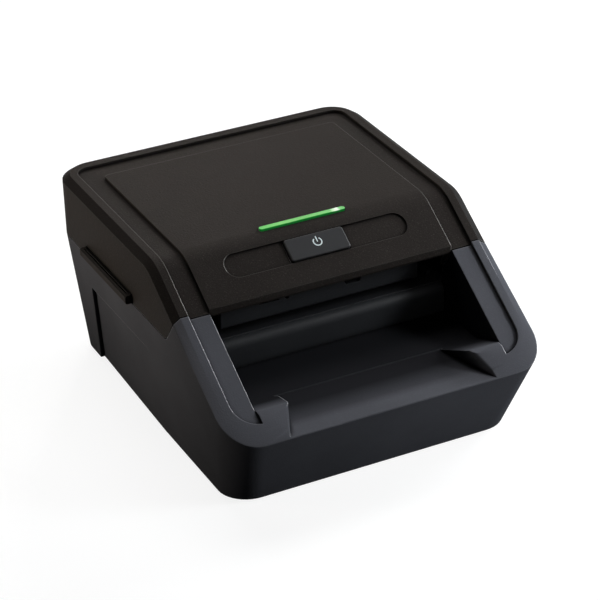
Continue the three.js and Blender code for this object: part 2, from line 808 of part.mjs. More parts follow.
// Note deck: plate with a rolled front, roller and sensor windows, and two fences
function makeDeck() {
  const noseY = bayRearY - deckNoseRun;
  const low = deckHeight - deckThickness;
  const nose = rounded([
    [bayRearY + deckThickness, low], [noseY + deckThickness, low],
    [noseY + deckThickness, bayFloorHeight + seatGap], [noseY, bayFloorHeight + seatGap],
    [noseY, deckHeight, deckNoseRadius], [bayRearY + deckThickness, deckHeight],
  ]);
  const noseHalf = bayHalf - seatGap;
  const wide = bayHalf + wall - seatGap;
  const plate = block(-wide, wide, bayRearY + seatGap, rear - wall - over, low, deckHeight);
  const tailHalf = exitHalfWidth - seatGap;
  const tail = block(-tailHalf, tailHalf, bayRearY + over, rear - seatGap, low, deckHeight);
  const fences = bothSides((side) => sideBlock(side, fenceHalfGap, fenceHalfGap + fenceWidth, bayRearY + over,
    hingeY - 2 * hingeRadius, low, deckHeight + fenceHeight));
  let deck = add(alongX(nose, -noseHalf, noseHalf), plate, tail, ...fences);
  for (const side of [1, -1]) {
    for (const y of [frontShaftY, rearShaftY]) {
      deck = cut(deck, rollerWindow(side * rollerOffset, y, driveRadius, driveWidth, low, driveZ));
    }
  }
  return cut(deck, sensorRoom(lowerSensorY(), low, deckHeight));
}

// Window of a plate round a roller, as wide as the roller is at that height
function rollerWindow(x, y, radius, width, low, axisHeight) {
  const away = Math.min(Math.abs(low - axisHeight), Math.abs(low + deckThickness - axisHeight));
  const reach = Math.sqrt(Math.max(radius * radius - away * away, 0)) + windowMargin;
  const side = width / 2 + windowMargin;
  return block(x - side, x + side, y - reach, y + reach, low - over, low + over);
}

// Places of the sensors along Y
function lowerSensorY() {
  return (frontShaftY + rearShaftY) / 2;
}
function upperSensorY() {
  return rearShaftY + (guideRearY - rearShaftY) / 2;
}

// Opening for a sensor window, a little larger than the window
function sensorRoom(y, low, high) {
  const [x, w] = [sensorLength / 2 + seatGap, sensorWidth / 2 + seatGap];
  return block(-x, x, y - w, y + w, low - over, high + over);
}

// Sensor window with its tray, seated in a plate whose face is at a height
function sensorWindow(y, face, towards) {
  const [x, w] = [sensorLength / 2, sensorWidth / 2];
  const inner = face - towards * sensorThickness;
  const tray = inner - towards * 2 * sensorThickness;
  const lens = block(-x, x, y - w, y + w, Math.min(face, inner), Math.max(face, inner));
  const narrow = x - sensorThickness;
  const back = block(-narrow, narrow, y - w, y + w, Math.min(inner, tray), Math.max(inner, tray));
  return add(lens, back);
}

// Drive roller with a crowned tyre, as a revolved form on a shaft
function roller(radius, bore, width) {
  const [w, crown] = [width / 2, radius * crownShare];
  const profile = [[bore, -w], [radius - crown, -w], [radius, -w + 2 * crown], [radius, w - 2 * crown],
    [radius - crown, w], [bore, w], [bore, -w]];
  const points = profile.map(([r, y]) => new THREE.Vector2(r, y));
  return new THREE.LatheGeometry(points, roundSides).rotateZ(-Math.PI / 2);
}

// Spur gear with involute teeth about X; a tooth points along +Y when the phase is 0
function gear(teeth, phase, bore) {
  const pitchRadius = (toothModule * teeth) / 2;
  const baseRadius = pitchRadius * Math.cos(pressureAngle);
  const tip = pitchRadius + toothModule * tipShare;
  const root = pitchRadius - toothModule * rootShare;
  const involute = (radius) => {
    const tangent = Math.sqrt(Math.max((radius / baseRadius) ** 2 - 1, 0));
    return tangent - Math.atan(tangent);
  };
  const halfTooth = Math.PI / 2 / teeth - toothBacklash / 2 / pitchRadius + involute(pitchRadius);
  const shape = new THREE.Shape();
  for (let tooth = 0; tooth < teeth; tooth += 1) {
    const middle = phase + (2 * Math.PI * tooth) / teeth;
    const flank = [];
    for (let i = 0; i <= toothSteps; i += 1) {
      const radius = Math.max(baseRadius, root) + ((tip - Math.max(baseRadius, root)) * i) / toothSteps;
      flank.push([radius, halfTooth - involute(radius)]);
    }
    flank.unshift([root, halfTooth]);
    const rising = flank.map(([r, a]) => [r, middle - a]);
    const falling = flank.reverse().map(([r, a]) => [r, middle + a]);
    const points = [...rising, ...falling];
    points.forEach(([r, a], i) => {
      const [x, y] = [r * Math.cos(a), r * Math.sin(a)];
      if (tooth === 0 && i === 0) shape.moveTo(x, y);
      else shape.lineTo(x, y);
    });
  }
  const hole = new THREE.Path();
  hole.absarc(0, 0, bore, 0, 2 * Math.PI, true);
  shape.holes.push(hole);
  return alongX(shape, 0, gearThickness, undefined, roundSides / 2);
}

// Shaft across the housing with its two rollers and its gear, each its own mesh on one axis
function makeDrive(word, y, phase) {
  const axle = new THREE.Group();
  axle.position.set(0, y, driveZ);
  detector.add(axle);
  const reach = gearX + gearThickness + seatGap;
  const shaft = add(
    rodX(driveShaftRadius, -bayHalf - wall - seatGap, reach, 0, 0),
    rodX(driveShaftRadius - seatGap, reach - seatGap, reach + 2 * seatGap, 0, 0),
  );
  place(`drive_shaft_${word}`, shaft, 'steel', axle);
  for (const [name, side] of [['left', -1], ['right', 1]]) {
    const tyre = roller(driveRadius, driveShaftRadius + runningGap, driveWidth);
    const mesh = place(`drive_roller_${word}_${name}`, tyre, 'rubber', axle);
    mesh.position.x = side * rollerOffset;
  }
  const wheel = place(`gear_${word}`, gear(gearTeeth, phase, driveShaftRadius + runningGap), 'gear', axle);
  wheel.position.x = gearX;
}

// Idler between the two gears, and the motor with its pinion
function makeIdler() {
  const idler = place('idler_gear', gear(gearTeeth, Math.PI / gearTeeth, gearPinRadius + runningGap), 'gear');
  idler.position.set(gearX, lowerSensorY(), driveZ);
}
function makeMotor() {
  const [y, z] = motorPlace();
  const end = bayHalf - seatGap;
  const flat = motorRadius * motorFlatShare;
  const can = cut(rodX(motorRadius, end - motorLength, end, y, z, largeSides),
    block(0, half, y - 2 * motorRadius, y + 2 * motorRadius, z - 2 * motorRadius, z - flat),
    block(0, half, y - 2 * motorRadius, y + 2 * motorRadius, z + flat, z + 2 * motorRadius),
    rodX(motorShaftRadius + runningGap, end - over, end + over, y, z));
  const cap = rodX(motorRadius * motorBossShare, end - motorLength - wall, end - motorLength + wall, y, z);
  place('motor', add(can, cap), 'steel');
  const towardsGear = Math.PI - Math.PI / 4;
  const pinion = gear(pinionTeeth, towardsGear, motorShaftRadius / 2).translate(gearX, 0, 0);
  const shaft = rodX(motorShaftRadius, end - over + seatGap, bayHalf + wall + gearThickness, 0, 0);
  const mesh = place('motor_pinion', add(pinion, shaft), 'gear');
  mesh.position.set(0, y, z);
}

// Upper guide: plate with a raised front face, roller windows, and brackets for the pinch shafts
function makeGuide() {
  const top = guideBottom + guideThickness;
  const faceTop = guideBottom + guideLipHeight;
  const profile = rounded([
    [guideRearY, guideBottom], [guideRearY, top], [guideFrontY + guideThickness, top],
    [guideFrontY + guideThickness, faceTop], [guideFrontY, faceTop],
    [guideFrontY, guideBottom, guideNoseRadius],
  ]);
  let guide = solid(alongX(profile, -guideHalfWidth, guideHalfWidth));
  const bracket = pinchShaftRadius + guideThickness;
  for (const y of [frontShaftY, rearShaftY]) {
    for (const side of [1, -1]) {
      const x = rollerOffset + pinchWidth / 2 + windowMargin + seatGap;
      guide = add(guide, sideBlock(side, x, x + wall, y - bracket, y + bracket, guideBottom, pinchZ + bracket));
      const room = pinchRadius + seatGap;
      guide = cut(guide, sideBlock(side, x - pinchWidth - 2 * windowMargin, x, y - room, y + room, 0, bodyHeight));
    }
    guide = cut(guide, rodX(pinchShaftRadius + runningGap, -half, half, y, pinchZ));
  }
  const [hx, hy] = [headLength / 2 + seatGap, headWidth / 2 + seatGap];
  guide = cut(guide, block(-hx, hx, lowerSensorY() - hy, lowerSensorY() + hy, 0, bodyHeight));
  guide = cut(guide, sensorRoom(upperSensorY(), guideBottom, top));
  return cut(guide, ...guideFrontCuts());
}

// Slot, hole and tab opening in the guide's front face
function guideFrontCuts() {
  const [y0, y1] = [guideFrontY - over, guideFrontY + over];
  const z = guideBottom + guideLipHeight / 2;
  const slot = guideThickness / 2;
  const [slotEnd, slotStart, holeX] = guideSlotShares.map((share) => -guideHalfWidth * share);
  const [a, b, c, d] = guideTabShares.map((share) => guideHalfWidth * share);
  const hole = new THREE.CylinderGeometry(slot, slot, 2 * over, smallSides);
  hole.translate(holeX, guideFrontY, z + slot / 2);
  const opening = rounded([[b, z - slot], [c, z - slot], [d, z + 2 * slot], [a, z + 2 * slot]]);
  return [block(slotEnd, slotStart, y0, y1, z, z + slot), hole, alongY(opening, y0, y1)];
}

// Shaft and rollers that press the note on the drive rollers
function makePinch(word, y) {
  const axle = new THREE.Group();
  axle.position.set(0, y, pinchZ);
  detector.add(axle);
  const reach = rollerOffset + pinchWidth / 2 + windowMargin + 2 * seatGap + wall;
  place(`pinch_shaft_${word}`, rodX(pinchShaftRadius, -reach, reach, 0, 0), 'steel', axle);
  for (const [name, side] of [['left', -1], ['right', 1]]) {
    const tyre = roller(pinchRadius, pinchShaftRadius + runningGap, pinchWidth);
    const mesh = place(`pinch_roller_${word}_${name}`, tyre, 'rubber', axle);
    mesh.position.x = side * rollerOffset;
  }
}

// Magnetic head in the upper guide, rounded below
function makeHead() {
  const y = lowerSensorY();
  const bottom = guideBottom - headProud;
  const profile = rounded([
    [y - headWidth / 2, bottom, headRadius], [y + headWidth / 2, bottom, headRadius],
    [y + headWidth / 2, bottom + headWidth], [y - headWidth / 2, bottom + headWidth],
  ]);
  return solid(alongX(profile, -headLength / 2, headLength / 2));
}

// Latch: grooved bar outside, plate and foot inside
function makeLatch(side) {
  const outside = half + gripProud;
  const inside = half - lidWall - latchSetback;
  const low = partingHeight + gripRise;
  const high = low + gripHeight;
  const bar = rounded([
    [inside - latchPlate, low], [outside - gripGroove, low], [outside, low + gripGroove],
    [outside, high - gripGroove], [outside - gripGroove, high], [inside - latchPlate, high],
  ]);
  const rows = [1, 2].map((row) => {
    const x = outside - row * 2 * gripGroove - gripGroove / 2;
    const [start, end] = [gripFront + gripHeight / 2, gripFront + gripLength - gripHeight / 2];
    return block(x - gripGroove / 2, x + gripGroove / 2, start, end, high - 2 * gripGroove, bodyHeight);
  });
  const plateInset = gripLength * latchEndShare;
  const plate = block(inside - latchPlate, inside, gripFront + plateInset, gripFront + gripLength - plateInset,
    partingHeight - latchFootDrop, low + latchPlateHeight);
  const made = cut(add(alongY(bar, gripFront, gripFront + gripLength), plate), ...rows);
  return side > 0 ? made : made.mirror([1, 0, 0]);
}

// Hinge pin in the lid's barrel and the housing's ear
function makeHingePin(side) {
  const start = exitHalfWidth - hingeEarWidth + seatGap;
  const end = exitHalfWidth + 2 * seatGap + hingeEarWidth;
  return solid(sideRod(side, hingePinRadius, start, end, hingeY, partingHeight));
}

// Bottom plate with screw holes, foot seats and posts for the main board
function makePlate() {
  const inset = wall + plateGap;
  const level = footHeight;
  const shrink = (partingHeight - level) * sideDraft;
  const frontHere = front + fasciaRun + inset + plateThickness / 2;
  const wide = half - shrink - inset;
  const rearHere = rear - rearInset - inset;
  const corner = cornerRadius - inset;
  const shape = rounded([
    [-wide, frontHere, corner], [wide, frontHere, corner], [wide, rearHere, corner], [-wide, rearHere, corner],
  ]);
  let plate = solid(extrude(shape, level, plateTop));
  const low = plateTop - plateThickness / 2;
  for (const [x, y] of boardPosts()) {
    plate = add(plate, rodZ(bossRadius / 2, low, mainBoardHeight - seatGap, x, y, smallSides));
  }
  for (const [x, y] of corners(bossX, bossFrontY, bossRearY)) {
    plate = cut(plate, rodZ(screwRadius + runningGap, -over, plateTop + over, x, y, smallSides));
    plate = cut(plate, rodZ(screwHeadRadius + seatGap, -over, level + screwHeadHeight + seatGap, x, y));
  }
  for (const [x, y] of corners(footX, footFrontY, footRearY)) {
    plate = cut(plate, rodZ(footRadius + seatGap, -over, level + footSink + seatGap, x, y));
  }
  return plate;
}

// The four places that a pair of distances gives, left ones first
function corners(x, frontY, rearY) {
  return [[-x, frontY], [x, frontY], [-x, rearY], [x, rearY]];
}
function boardPosts() {
  const [x, y] = [mainBoardLength / 2 - bossRadius, mainBoardWidth / 2 - bossRadius];
  const middle = boardMiddleY();
  return corners(x, middle - y, middle + y);
}
function boardMiddleY() {
  return rear - rearInset - 2 * wall - mainBoardWidth / 2;
}

// Body turned about Z from points of radius and height
function turned(points) {
  return new THREE.LatheGeometry(points.map(([r, z]) => new THREE.Vector2(r, z)), roundSides).rotateX(Math.PI / 2);
}

// Rubber foot, and plate screw with a cross in its head
function makeFoot(x, y) {
  const [r, top, chamfer] = [footRadius, footHeight + footSink, footChamfer];
  const points = [[0, 0], [r - chamfer, 0], [r, chamfer], [r, top], [0, top]];
  return turned(points).translate(x, y, 0);
}
function makeScrew(x, y) {
  const base = footHeight + runningGap;
  const [head, stem] = [screwHeadRadius, screwRadius];
  const neck = base + screwHeadHeight;
  const end = base + screwLength;
  const body = turned([[0, base], [head, base], [head, neck], [stem, neck], [stem, end], [0, end]]);
  const slot = screwHeadHeight / 2;
  const across = block(-head / 2, head / 2, -slot / 2, slot / 2, 0, base + slot);
  const along = block(-slot / 2, slot / 2, -head / 2, head / 2, 0, base + slot);
  return cut(body, across, along).translate([x, y, 0]);
}

// Main board with its larger parts
function makeMainBoard() {
  const middle = boardMiddleY();
  const shape = rectangle(mainBoardLength, mainBoardWidth, boardThickness, 0, middle);
  const top = mainBoardHeight + boardThickness;
  const [chip, reach, small] = chipShares.map((share) => share * mainBoardLength);
  const low = top - boardThickness / 2;
  const chips = [
    block(-chip / 2, chip / 2, middle - chip, middle, low, top + boardThickness),
    block(chip, reach, middle, middle + small, low, top + boardThickness),
    block(-reach, -chip, middle - 2 * chip, middle - chip, low, top + 2 * boardThickness),
  ];
  return add(extrude(shape, mainBoardHeight, top), ...chips);
}

// Sockets on the rear edge of the board
function makeJack() {
  const z = mainBoardHeight + boardThickness + seatGap;
  const [x, y] = [jackX, rear - rearInset - wall / 2];
  const body = block(x - jackSide / 2, x + jackSide / 2, y - jackDepth, y, z, z + jackSide);
  const bore = new THREE.CylinderGeometry(jackBore, jackBore, jackDepth, roundSides);
  bore.translate(x, y, z + jackSide / 2);
  const pin = new THREE.CylinderGeometry(hingePinRadius, hingePinRadius, jackDepth * contactShare, smallSides);
  pin.translate(x, y - jackDepth / 2, z + jackSide / 2);
  return add(cut(body, bore), pin);
}
function makeUsb() {
  const z = mainBoardHeight + boardThickness + seatGap;
  const [x, y] = [usbX, rear - rearInset - wall / 2];
  const [share, low, high] = tongueShares;
  const body = block(x - usbWidth / 2, x + usbWidth / 2, y - usbDepth, y, z, z + usbHeight);
  const [inner, back] = [usbWidth / 2 - usbSkin, y - usbDepth * contactShare];
  const mouth = block(x - inner, x + inner, back, y + over, z + usbSkin, z + usbHeight - usbSkin);
  const reach = usbWidth * share;
  const tongue = block(x - reach, x + reach, y - usbDepth, y - usbSkin, z + usbHeight * low, z + usbHeight * high);
  return add(cut(body, mouth), tongue);
}

place('base_housing', makeHousing(), 'housing');
place('lid_shell', makeLid(), 'lid');
place('power_button', makeButton(), 'button');
place('light_bar', makeBar(), 'light');
place('lid_board', makeLidBoard(), 'board');
place('power_switch', makeSwitch(), 'inner');
place('lower_guide', makeDeck(), 'inner');
place('upper_guide', makeGuide(), 'inner');
place('lower_sensor', sensorWindow(lowerSensorY(), deckHeight, 1), 'lens');
place('upper_sensor', sensorWindow(upperSensorY(), guideBottom, -1), 'lens');
place('magnetic_head', makeHead(), 'steel');
makeDrive('front', frontShaftY, 0);
makeDrive('rear', rearShaftY, 0);
makeIdler();
makeMotor();
makePinch('front', frontShaftY);
makePinch('rear', rearShaftY);
place('latch_left', makeLatch(-1), 'housing');
place('latch_right', makeLatch(1), 'housing');
place('hinge_pin_left', makeHingePin(-1), 'steel');
place('hinge_pin_right', makeHingePin(1), 'steel');
place('bottom_plate', makePlate(), 'housing');
place('main_board', makeMainBoard(), 'board');
place('dc_jack', makeJack(), 'inner');
place('usb_port', makeUsb(), 'steel');
const cornerNames = ['front_left', 'front_right', 'rear_left', 'rear_right'];
corners(footX, footFrontY, footRearY).forEach(([x, y], i) => {
  place(`foot_${cornerNames[i]}`, makeFoot(x, y), 'rubber');
});
corners(bossX, bossFrontY, bossRearY).forEach(([x, y], i) => {
  place(`plate_screw_${cornerNames[i]}`, makeScrew(x, y), 'steel');
});

export default detector;
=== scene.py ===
"""A detector for counterfeit money on a pale floor, dressed with procedural materials."""

import json
import math

import bmesh
import bpy
from mathutils import Matrix, Vector


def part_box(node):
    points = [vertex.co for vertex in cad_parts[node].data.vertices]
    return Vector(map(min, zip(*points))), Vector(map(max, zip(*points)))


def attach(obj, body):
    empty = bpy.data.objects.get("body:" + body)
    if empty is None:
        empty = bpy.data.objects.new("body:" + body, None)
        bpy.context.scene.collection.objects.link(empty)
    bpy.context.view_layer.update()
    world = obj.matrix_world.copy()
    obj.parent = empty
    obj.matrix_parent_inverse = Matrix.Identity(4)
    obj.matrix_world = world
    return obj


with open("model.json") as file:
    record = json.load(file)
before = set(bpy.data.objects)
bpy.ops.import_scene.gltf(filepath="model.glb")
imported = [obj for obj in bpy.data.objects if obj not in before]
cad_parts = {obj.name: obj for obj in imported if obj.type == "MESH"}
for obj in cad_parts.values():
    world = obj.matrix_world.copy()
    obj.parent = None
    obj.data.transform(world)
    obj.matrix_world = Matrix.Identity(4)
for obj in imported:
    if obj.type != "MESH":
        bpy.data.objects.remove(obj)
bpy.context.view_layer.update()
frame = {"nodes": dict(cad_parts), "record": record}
nodes = frame["nodes"]

# Places and sizes are in metres
MM = 0.001

# The front slope: the crease at its top, and the directions out of it and up along it
CREASE = Vector((0, -11.2 * MM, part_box("lid_shell")[1].z))
joints = {joint["name"]: joint for joint in frame["record"]["behaviour"]["joints"]}
OUT = -Vector(joints["power_press"]["axis"])
ALONG = OUT.cross(Vector((1, 0, 0)))

# The bay between the arms, whose floor and walls get painted shade: half its width, its limits in y and z,
# and heights over the slope between which its floor and its walls begin
BAY_HALF = 45.6 * MM
BAY_FRONT = (-68 * MM, -64 * MM)
BAY_REAR = (-8 * MM, 0)
BAY_BOTTOM = (26 * MM, 29 * MM)
BAY_FLOOR = (-10 * MM, -1 * MM)
BAY_WALL = (-1.2 * MM, -0.3 * MM)

# Edges turned to this side, towards the lamps on the right, get a painted highlight and more gloss, in full
# in front of the first y and hardly behind the second
LIT_SIDE = (0.9, -0.45, 0)
LIT_REACH = (-20 * MM, -10 * MM)

# Faces that meet at more than this angle keep a sharp edge
SHARP_ANGLE = math.radians(28)
BLACK = (0, 0, 0, 1)


# Colours and node graphs

def colour(red, green, blue):
    """Linear colour with alpha, from 0 to 255 as it shows on a screen."""
    def one(value):
        value /= 255
        return value / 12.92 if value <= 0.04045 else ((value + 0.055) / 1.055) ** 2.4
    return (one(red), one(green), one(blue), 1)


def scaled(base, factor):
    """A colour made darker or lighter."""
    return tuple(min(1, part * factor) for part in base[:3]) + (1,)


def feed(tree, target, inputs):
    """Gives a node's inputs their constants, or links other nodes' sockets to them."""
    for name, value in inputs.items():
        if isinstance(value, bpy.types.NodeSocket):
            tree.links.new(value, target.inputs[name])
        else:
            target.inputs[name].default_value = value


def node(tree, kind, inputs=None, **settings):
    """A shader node with its settings and its inputs, named or counted."""
    made = tree.nodes.new("ShaderNode" + kind)
    for name, value in settings.items():
        setattr(made, name, value)
    feed(tree, made, inputs or {})
    return made


def new_material(name):
    """A material with an empty graph, its Principled shader and the place on the part."""
    material = bpy.data.materials.new(name)
    material.use_nodes = True
    tree = material.node_tree
    tree.nodes.clear()
    shader = node(tree, "BsdfPrincipled")
    node(tree, "OutputMaterial", {"Surface": shader.outputs[0]})
    place = node(tree, "TexCoord").outputs["Object"]
    return material, tree, shader, place


def noise(tree, place, size, detail=2, rough=0.5):
    """Noise whose features are about so many millimetres wide."""
    inputs = {"Vector": place, "Scale": 1 / (size * MM), "Detail": detail, "Roughness": rough}
    return node(tree, "TexNoise", inputs).outputs[0]


def spread(tree, value, low, high, start=0.3, end=0.7):
    """A value between start and end brought to between low and high."""
    inputs = {"Value": value, "From Min": start, "From Max": end, "To Min": low, "To Max": high}
    return node(tree, "MapRange", inputs).outputs[0]


def mix(tree, share, first, second):
    """Mix of two colours, whose sockets are the node's inputs 6 and 7."""
    return node(tree, "Mix", {0: share, 6: first, 7: second}, data_type="RGBA").outputs[2]


def combine(tree, operation, first, second):
    """The result of a sum, product or the like of two values."""
    return node(tree, "Math", {0: first, 1: second}, operation=operation).outputs[0]


def product(tree, *values):
    """The values multiplied together."""
    total = values[0]
    for value in values[1:]:
        total = combine(tree, "MULTIPLY", total, value)
    return total


def dot(tree, first, second):
    """How far the first vector goes along the second."""
    return node(tree, "VectorMath", {0: first, 1: second}, operation="DOT_PRODUCT").outputs["Value"]


def axes(tree, vector):
    """The three parts of a vector."""
    return node(tree, "SeparateXYZ", {"Vector": vector}).outputs


def bump(tree, height, strength, distance, normal=None):
    """Normal with small relief, so many millimetres deep."""
    inputs = {"Height": height, "Strength": strength, "Distance": distance * MM}
    if normal:
        inputs["Normal"] = normal
    return node(tree, "Bump", inputs).outputs[0]


def rounded_edges(tree, radius):
    """Normal with rounded edges, and a mask that is 1 along convex and concave edges."""
    bevel = node(tree, "Bevel", {"Radius": radius * MM}, samples=6).outputs[0]
    flat = node(tree, "NewGeometry").outputs["Normal"]
    return bevel, spread(tree, dot(tree, bevel, flat), 1, 0, 0.8, 0.985)


def crevices(tree, reach):
    """A value that is 1 in the open and falls to 0 in grooves and inner corners, used to paint shade there.
    """
    hidden = node(tree, "AmbientOcclusion", {"Distance": reach * MM}, samples=8)
    return spread(tree, hidden.outputs["AO"], 0, 1, 0.5, 0.92)


def in_bay(tree, place):
    """A value that rises from 0 to 1 going down into the bay between the arms, at once on its two walls, for
    the painted shade there.
    """
    parts = axes(tree, place)
    across = node(tree, "Math", {0: parts[0]}, operation="ABSOLUTE").outputs[0]
    offset = node(tree, "VectorMath", {0: place, 1: CREASE}, operation="SUBTRACT").outputs["Vector"]
    height = dot(tree, offset, OUT)
    on_wall = product(tree, spread(tree, height, 1, 0, *BAY_WALL),
                      spread(tree, across, 0, 1, BAY_HALF - 0.4 * MM, BAY_HALF - 0.2 * MM))
    deep = combine(tree, "MAXIMUM", spread(tree, height, 1, 0, *BAY_FLOOR), on_wall)
    between_arms = spread(tree, across, 1, 0, BAY_HALF + 0.1 * MM, BAY_HALF + 0.2 * MM)
    return product(tree, deep, between_arms, spread(tree, parts[1], 0, 1, *BAY_FRONT),
                   spread(tree, parts[1], 1, 0, *BAY_REAR), spread(tree, parts[2], 0, 1, *BAY_BOTTOM))


def on_shoulder(tree):
    """A value that is 1 on the rounded shoulder between the top and the sides, where shade is painted."""
    parts = axes(tree, node(tree, "NewGeometry").outputs["Normal"])
    across = node(tree, "Math", {0: parts[0]}, operation="ABSOLUTE").outputs[0]
    return product(tree, spread(tree, across, 0, 1, 0.35, 0.55), spread(tree, across, 1, 0, 0.86, 0.97),
                   spread(tree, parts[2], 0, 1, 0.1, 0.25))


# Kinds of material

def plastic(name, base, edge_highlight, *, rough, grain, relief, specular, rounding, mottle, specks=0.0, bay=False,
            shoulder=0.0, shine=0.6):
    """Moulded plastic: spark-eroded grain, uneven gloss, glossier edges with a painted highlight, and painted
    shade in the grooves.

    grain and rounding are in millimetres. edge_highlight is the colour of the painted highlight, in full on
    edges that face the lamps on the right and faintly on the others, and shine their added gloss.
    mottle is the share by which the colour varies and specks the strength of its pale specks. bay and
    shoulder darken those places with painted shade.
    """
    material, tree, shader, place = new_material(name)
    normal, edges = rounded_edges(tree, rounding)
    fine = noise(tree, place, grain, 3, 0.6)
    cells = node(tree, "TexVoronoi", {"Vector": place, "Scale": 1 / (1.6 * grain * MM), "Randomness": 1})
    broad = noise(tree, place, 28, 4)

    cloud = spread(tree, broad, 0, 1, 0.35, 0.65)
    tone = mix(tree, cloud, scaled(base, 1 - mottle), scaled(base, 1 + mottle))
    if specks:
        tone = mix(tree, spread(tree, fine, 0, specks, 0.55, 0.75), tone, scaled(base, 2.2))
    # Painted shade: the floor and walls of the bay between the arms darken to a fifth of the base colour
    if bay:
        tone = mix(tree, in_bay(tree, place), tone, scaled(base, 0.2))
    # Painted shade: the rounded shoulder between the top and the sides darkens towards black
    if shoulder:
        tone = mix(tree, product(tree, on_shoulder(tree), shoulder), tone, BLACK)

    # Painted highlight: edges that face the lamps on the right, mostly at the front, are lightened towards
    # edge_highlight and given more gloss
    turned = spread(tree, dot(tree, normal, LIT_SIDE), 0, 1, 0.58, 0.8)
    lamp_facing = product(tree, turned, spread(tree, axes(tree, place)[1], 1, 0.06, *LIT_REACH))
    clear = combine(tree, "MAXIMUM", crevices(tree, 2.2), lamp_facing)
    lit_edges = product(tree, edges, clear, spread(tree, lamp_facing, 0.08, 1, 0, 1))
    tone = mix(tree, product(tree, lit_edges, spread(tree, noise(tree, place, 3, 3), 0.45, 1)), tone, edge_highlight)
    # Painted shade: grooves and inner corners darken to an eighth of the base colour, except on edges that
    # face the lamps on the right
    tone = mix(tree, clear, scaled(base, 0.12), tone)

    grainy = spread(tree, fine, rough - 0.05, rough + 0.07)
    feed(tree, shader, {
        "Base Color": tone,
        "Roughness": combine(tree, "ADD", grainy, spread(tree, broad, -0.03, 0.03)),
        "Normal": bump(tree, combine(tree, "ADD", fine, cells.outputs[0]), relief, 0.08, normal),
        "Specular IOR Level": spread(tree, lit_edges, specular, specular + shine, 0, 1),
    })
    return material


def metal(name, base, rough, stretch):
    """Turned or drawn metal with fine lines, which run along the axis that is stretched least."""
    material, tree, shader, place = new_material(name)
    normal, edges = rounded_edges(tree, 0.15)
    drawn = node(tree, "Mapping", {"Vector": place, "Scale": stretch}).outputs[0]
    lines = node(tree, "TexNoise", {"Vector": drawn, "Scale": 1, "Detail": 3}).outputs[0]
    darker = scaled(base, 0.62)
    tone = mix(tree, spread(tree, noise(tree, place, 6, 3), 0, 1), darker, base)
    tone = mix(tree, spread(tree, lines, 0, 0.35), tone, darker)
    feed(tree, shader, {
        "Base Color": mix(tree, edges, tone, scaled(base, 1.3)),
        "Metallic": 1,
        "Roughness": spread(tree, lines, rough - 0.08, rough + 0.14),
        "Normal": bump(tree, lines, 0.25, 0.03, normal),
    })
    return material


def rubber(name, base):
    """Dull rubber with a powdery, slightly dusty skin."""
    material, tree, shader, place = new_material(name)
    normal, edges = rounded_edges(tree, 0.3)
    fine = noise(tree, place, 0.35, 4, 0.7)
    pale = scaled(base, 2.1)
    tone = mix(tree, spread(tree, noise(tree, place, 5, 4), 0, 0.55, 0.45, 0.8), base, pale)
    feed(tree, shader, {
        "Base Color": mix(tree, product(tree, edges, 0.4), tone, pale),
        "Roughness": spread(tree, fine, 0.78, 0.95),
        "Normal": bump(tree, fine, 0.45, 0.1, normal),
        "Specular IOR Level": 0.2,
    })
    return material


def board(name, parts_above=None):
    """Green circuit board with copper tracks under the lacquer, and black parts above the given height."""
    material, tree, shader, place = new_material(name)
    normal, edges = rounded_edges(tree, 0.1)
    squares = node(tree, "TexVoronoi", {"Vector": place, "Scale": 330, "Randomness": 0.75},
                   distance="CHEBYCHEV")
    tracks = spread(tree, squares.outputs[0], 0, 1, 0.36, 0.4)
    grit = noise(tree, place, 0.4, 3)
    tone = mix(tree, tracks, colour(16, 66, 40), colour(38, 102, 58))
    if parts_above is not None:
        is_part = spread(tree, axes(tree, place)[2], 0, 1, parts_above, parts_above + 0.05 * MM)
        black = mix(tree, spread(tree, grit, 0, 1), colour(20, 20, 22), colour(34, 34, 36))
        tone = mix(tree, is_part, tone, black)
    feed(tree, shader, {
        "Base Color": mix(tree, edges, tone, colour(120, 118, 92)),
        "Roughness": spread(tree, grit, 0.3, 0.55),
        "Normal": bump(tree, tracks, 0.4, 0.05, normal),
    })
    return material


def lit_bar():
    """Green light pipe, brightest over its diode near the right end and darker on its front side."""
    material, tree, shader, place = new_material("light_bar_green")
    low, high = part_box("light_bar")
    parts = axes(tree, place)
    ramp = node(tree, "ValToRGB", {"Fac": spread(tree, parts[0], 0, 1, low.x, high.x)})
    stops = ((0.0, (84, 190, 84)), (0.25, (104, 196, 92)), (0.55, (78, 176, 70)), (0.83, (72, 182, 72)),
             (0.88, (225, 255, 215)), (0.91, (235, 255, 235)), (0.94, (70, 180, 76)), (1.0, (80, 186, 84)))
    elements = ramp.color_ramp.elements
    while len(elements) < len(stops):
        elements.new(0.5)
    for element, (position, shade) in zip(elements, stops):
        element.position = position
        element.color = colour(*shade)
    cloudy = noise(tree, place, 1.2, 3)
    on_top = spread(tree, parts[2], 0, 1, high.z - 0.18 * MM, high.z - 0.03 * MM)
    tone = mix(tree, on_top, colour(12, 92, 34), ramp.outputs["Color"])
    tone = mix(tree, spread(tree, cloudy, 0, 0.18), tone, colour(40, 150, 60))
    feed(tree, shader, {
        "Base Color": mix(tree, 0.85, tone, BLACK),
        "Emission Color": tone,
        "Emission Strength": 0.8,
        "Specular IOR Level": 0.03,
        "Roughness": spread(tree, cloudy, 0.2, 0.32),
        "Normal": bump(tree, cloudy, 0.2, 0.05),
    })
    return material


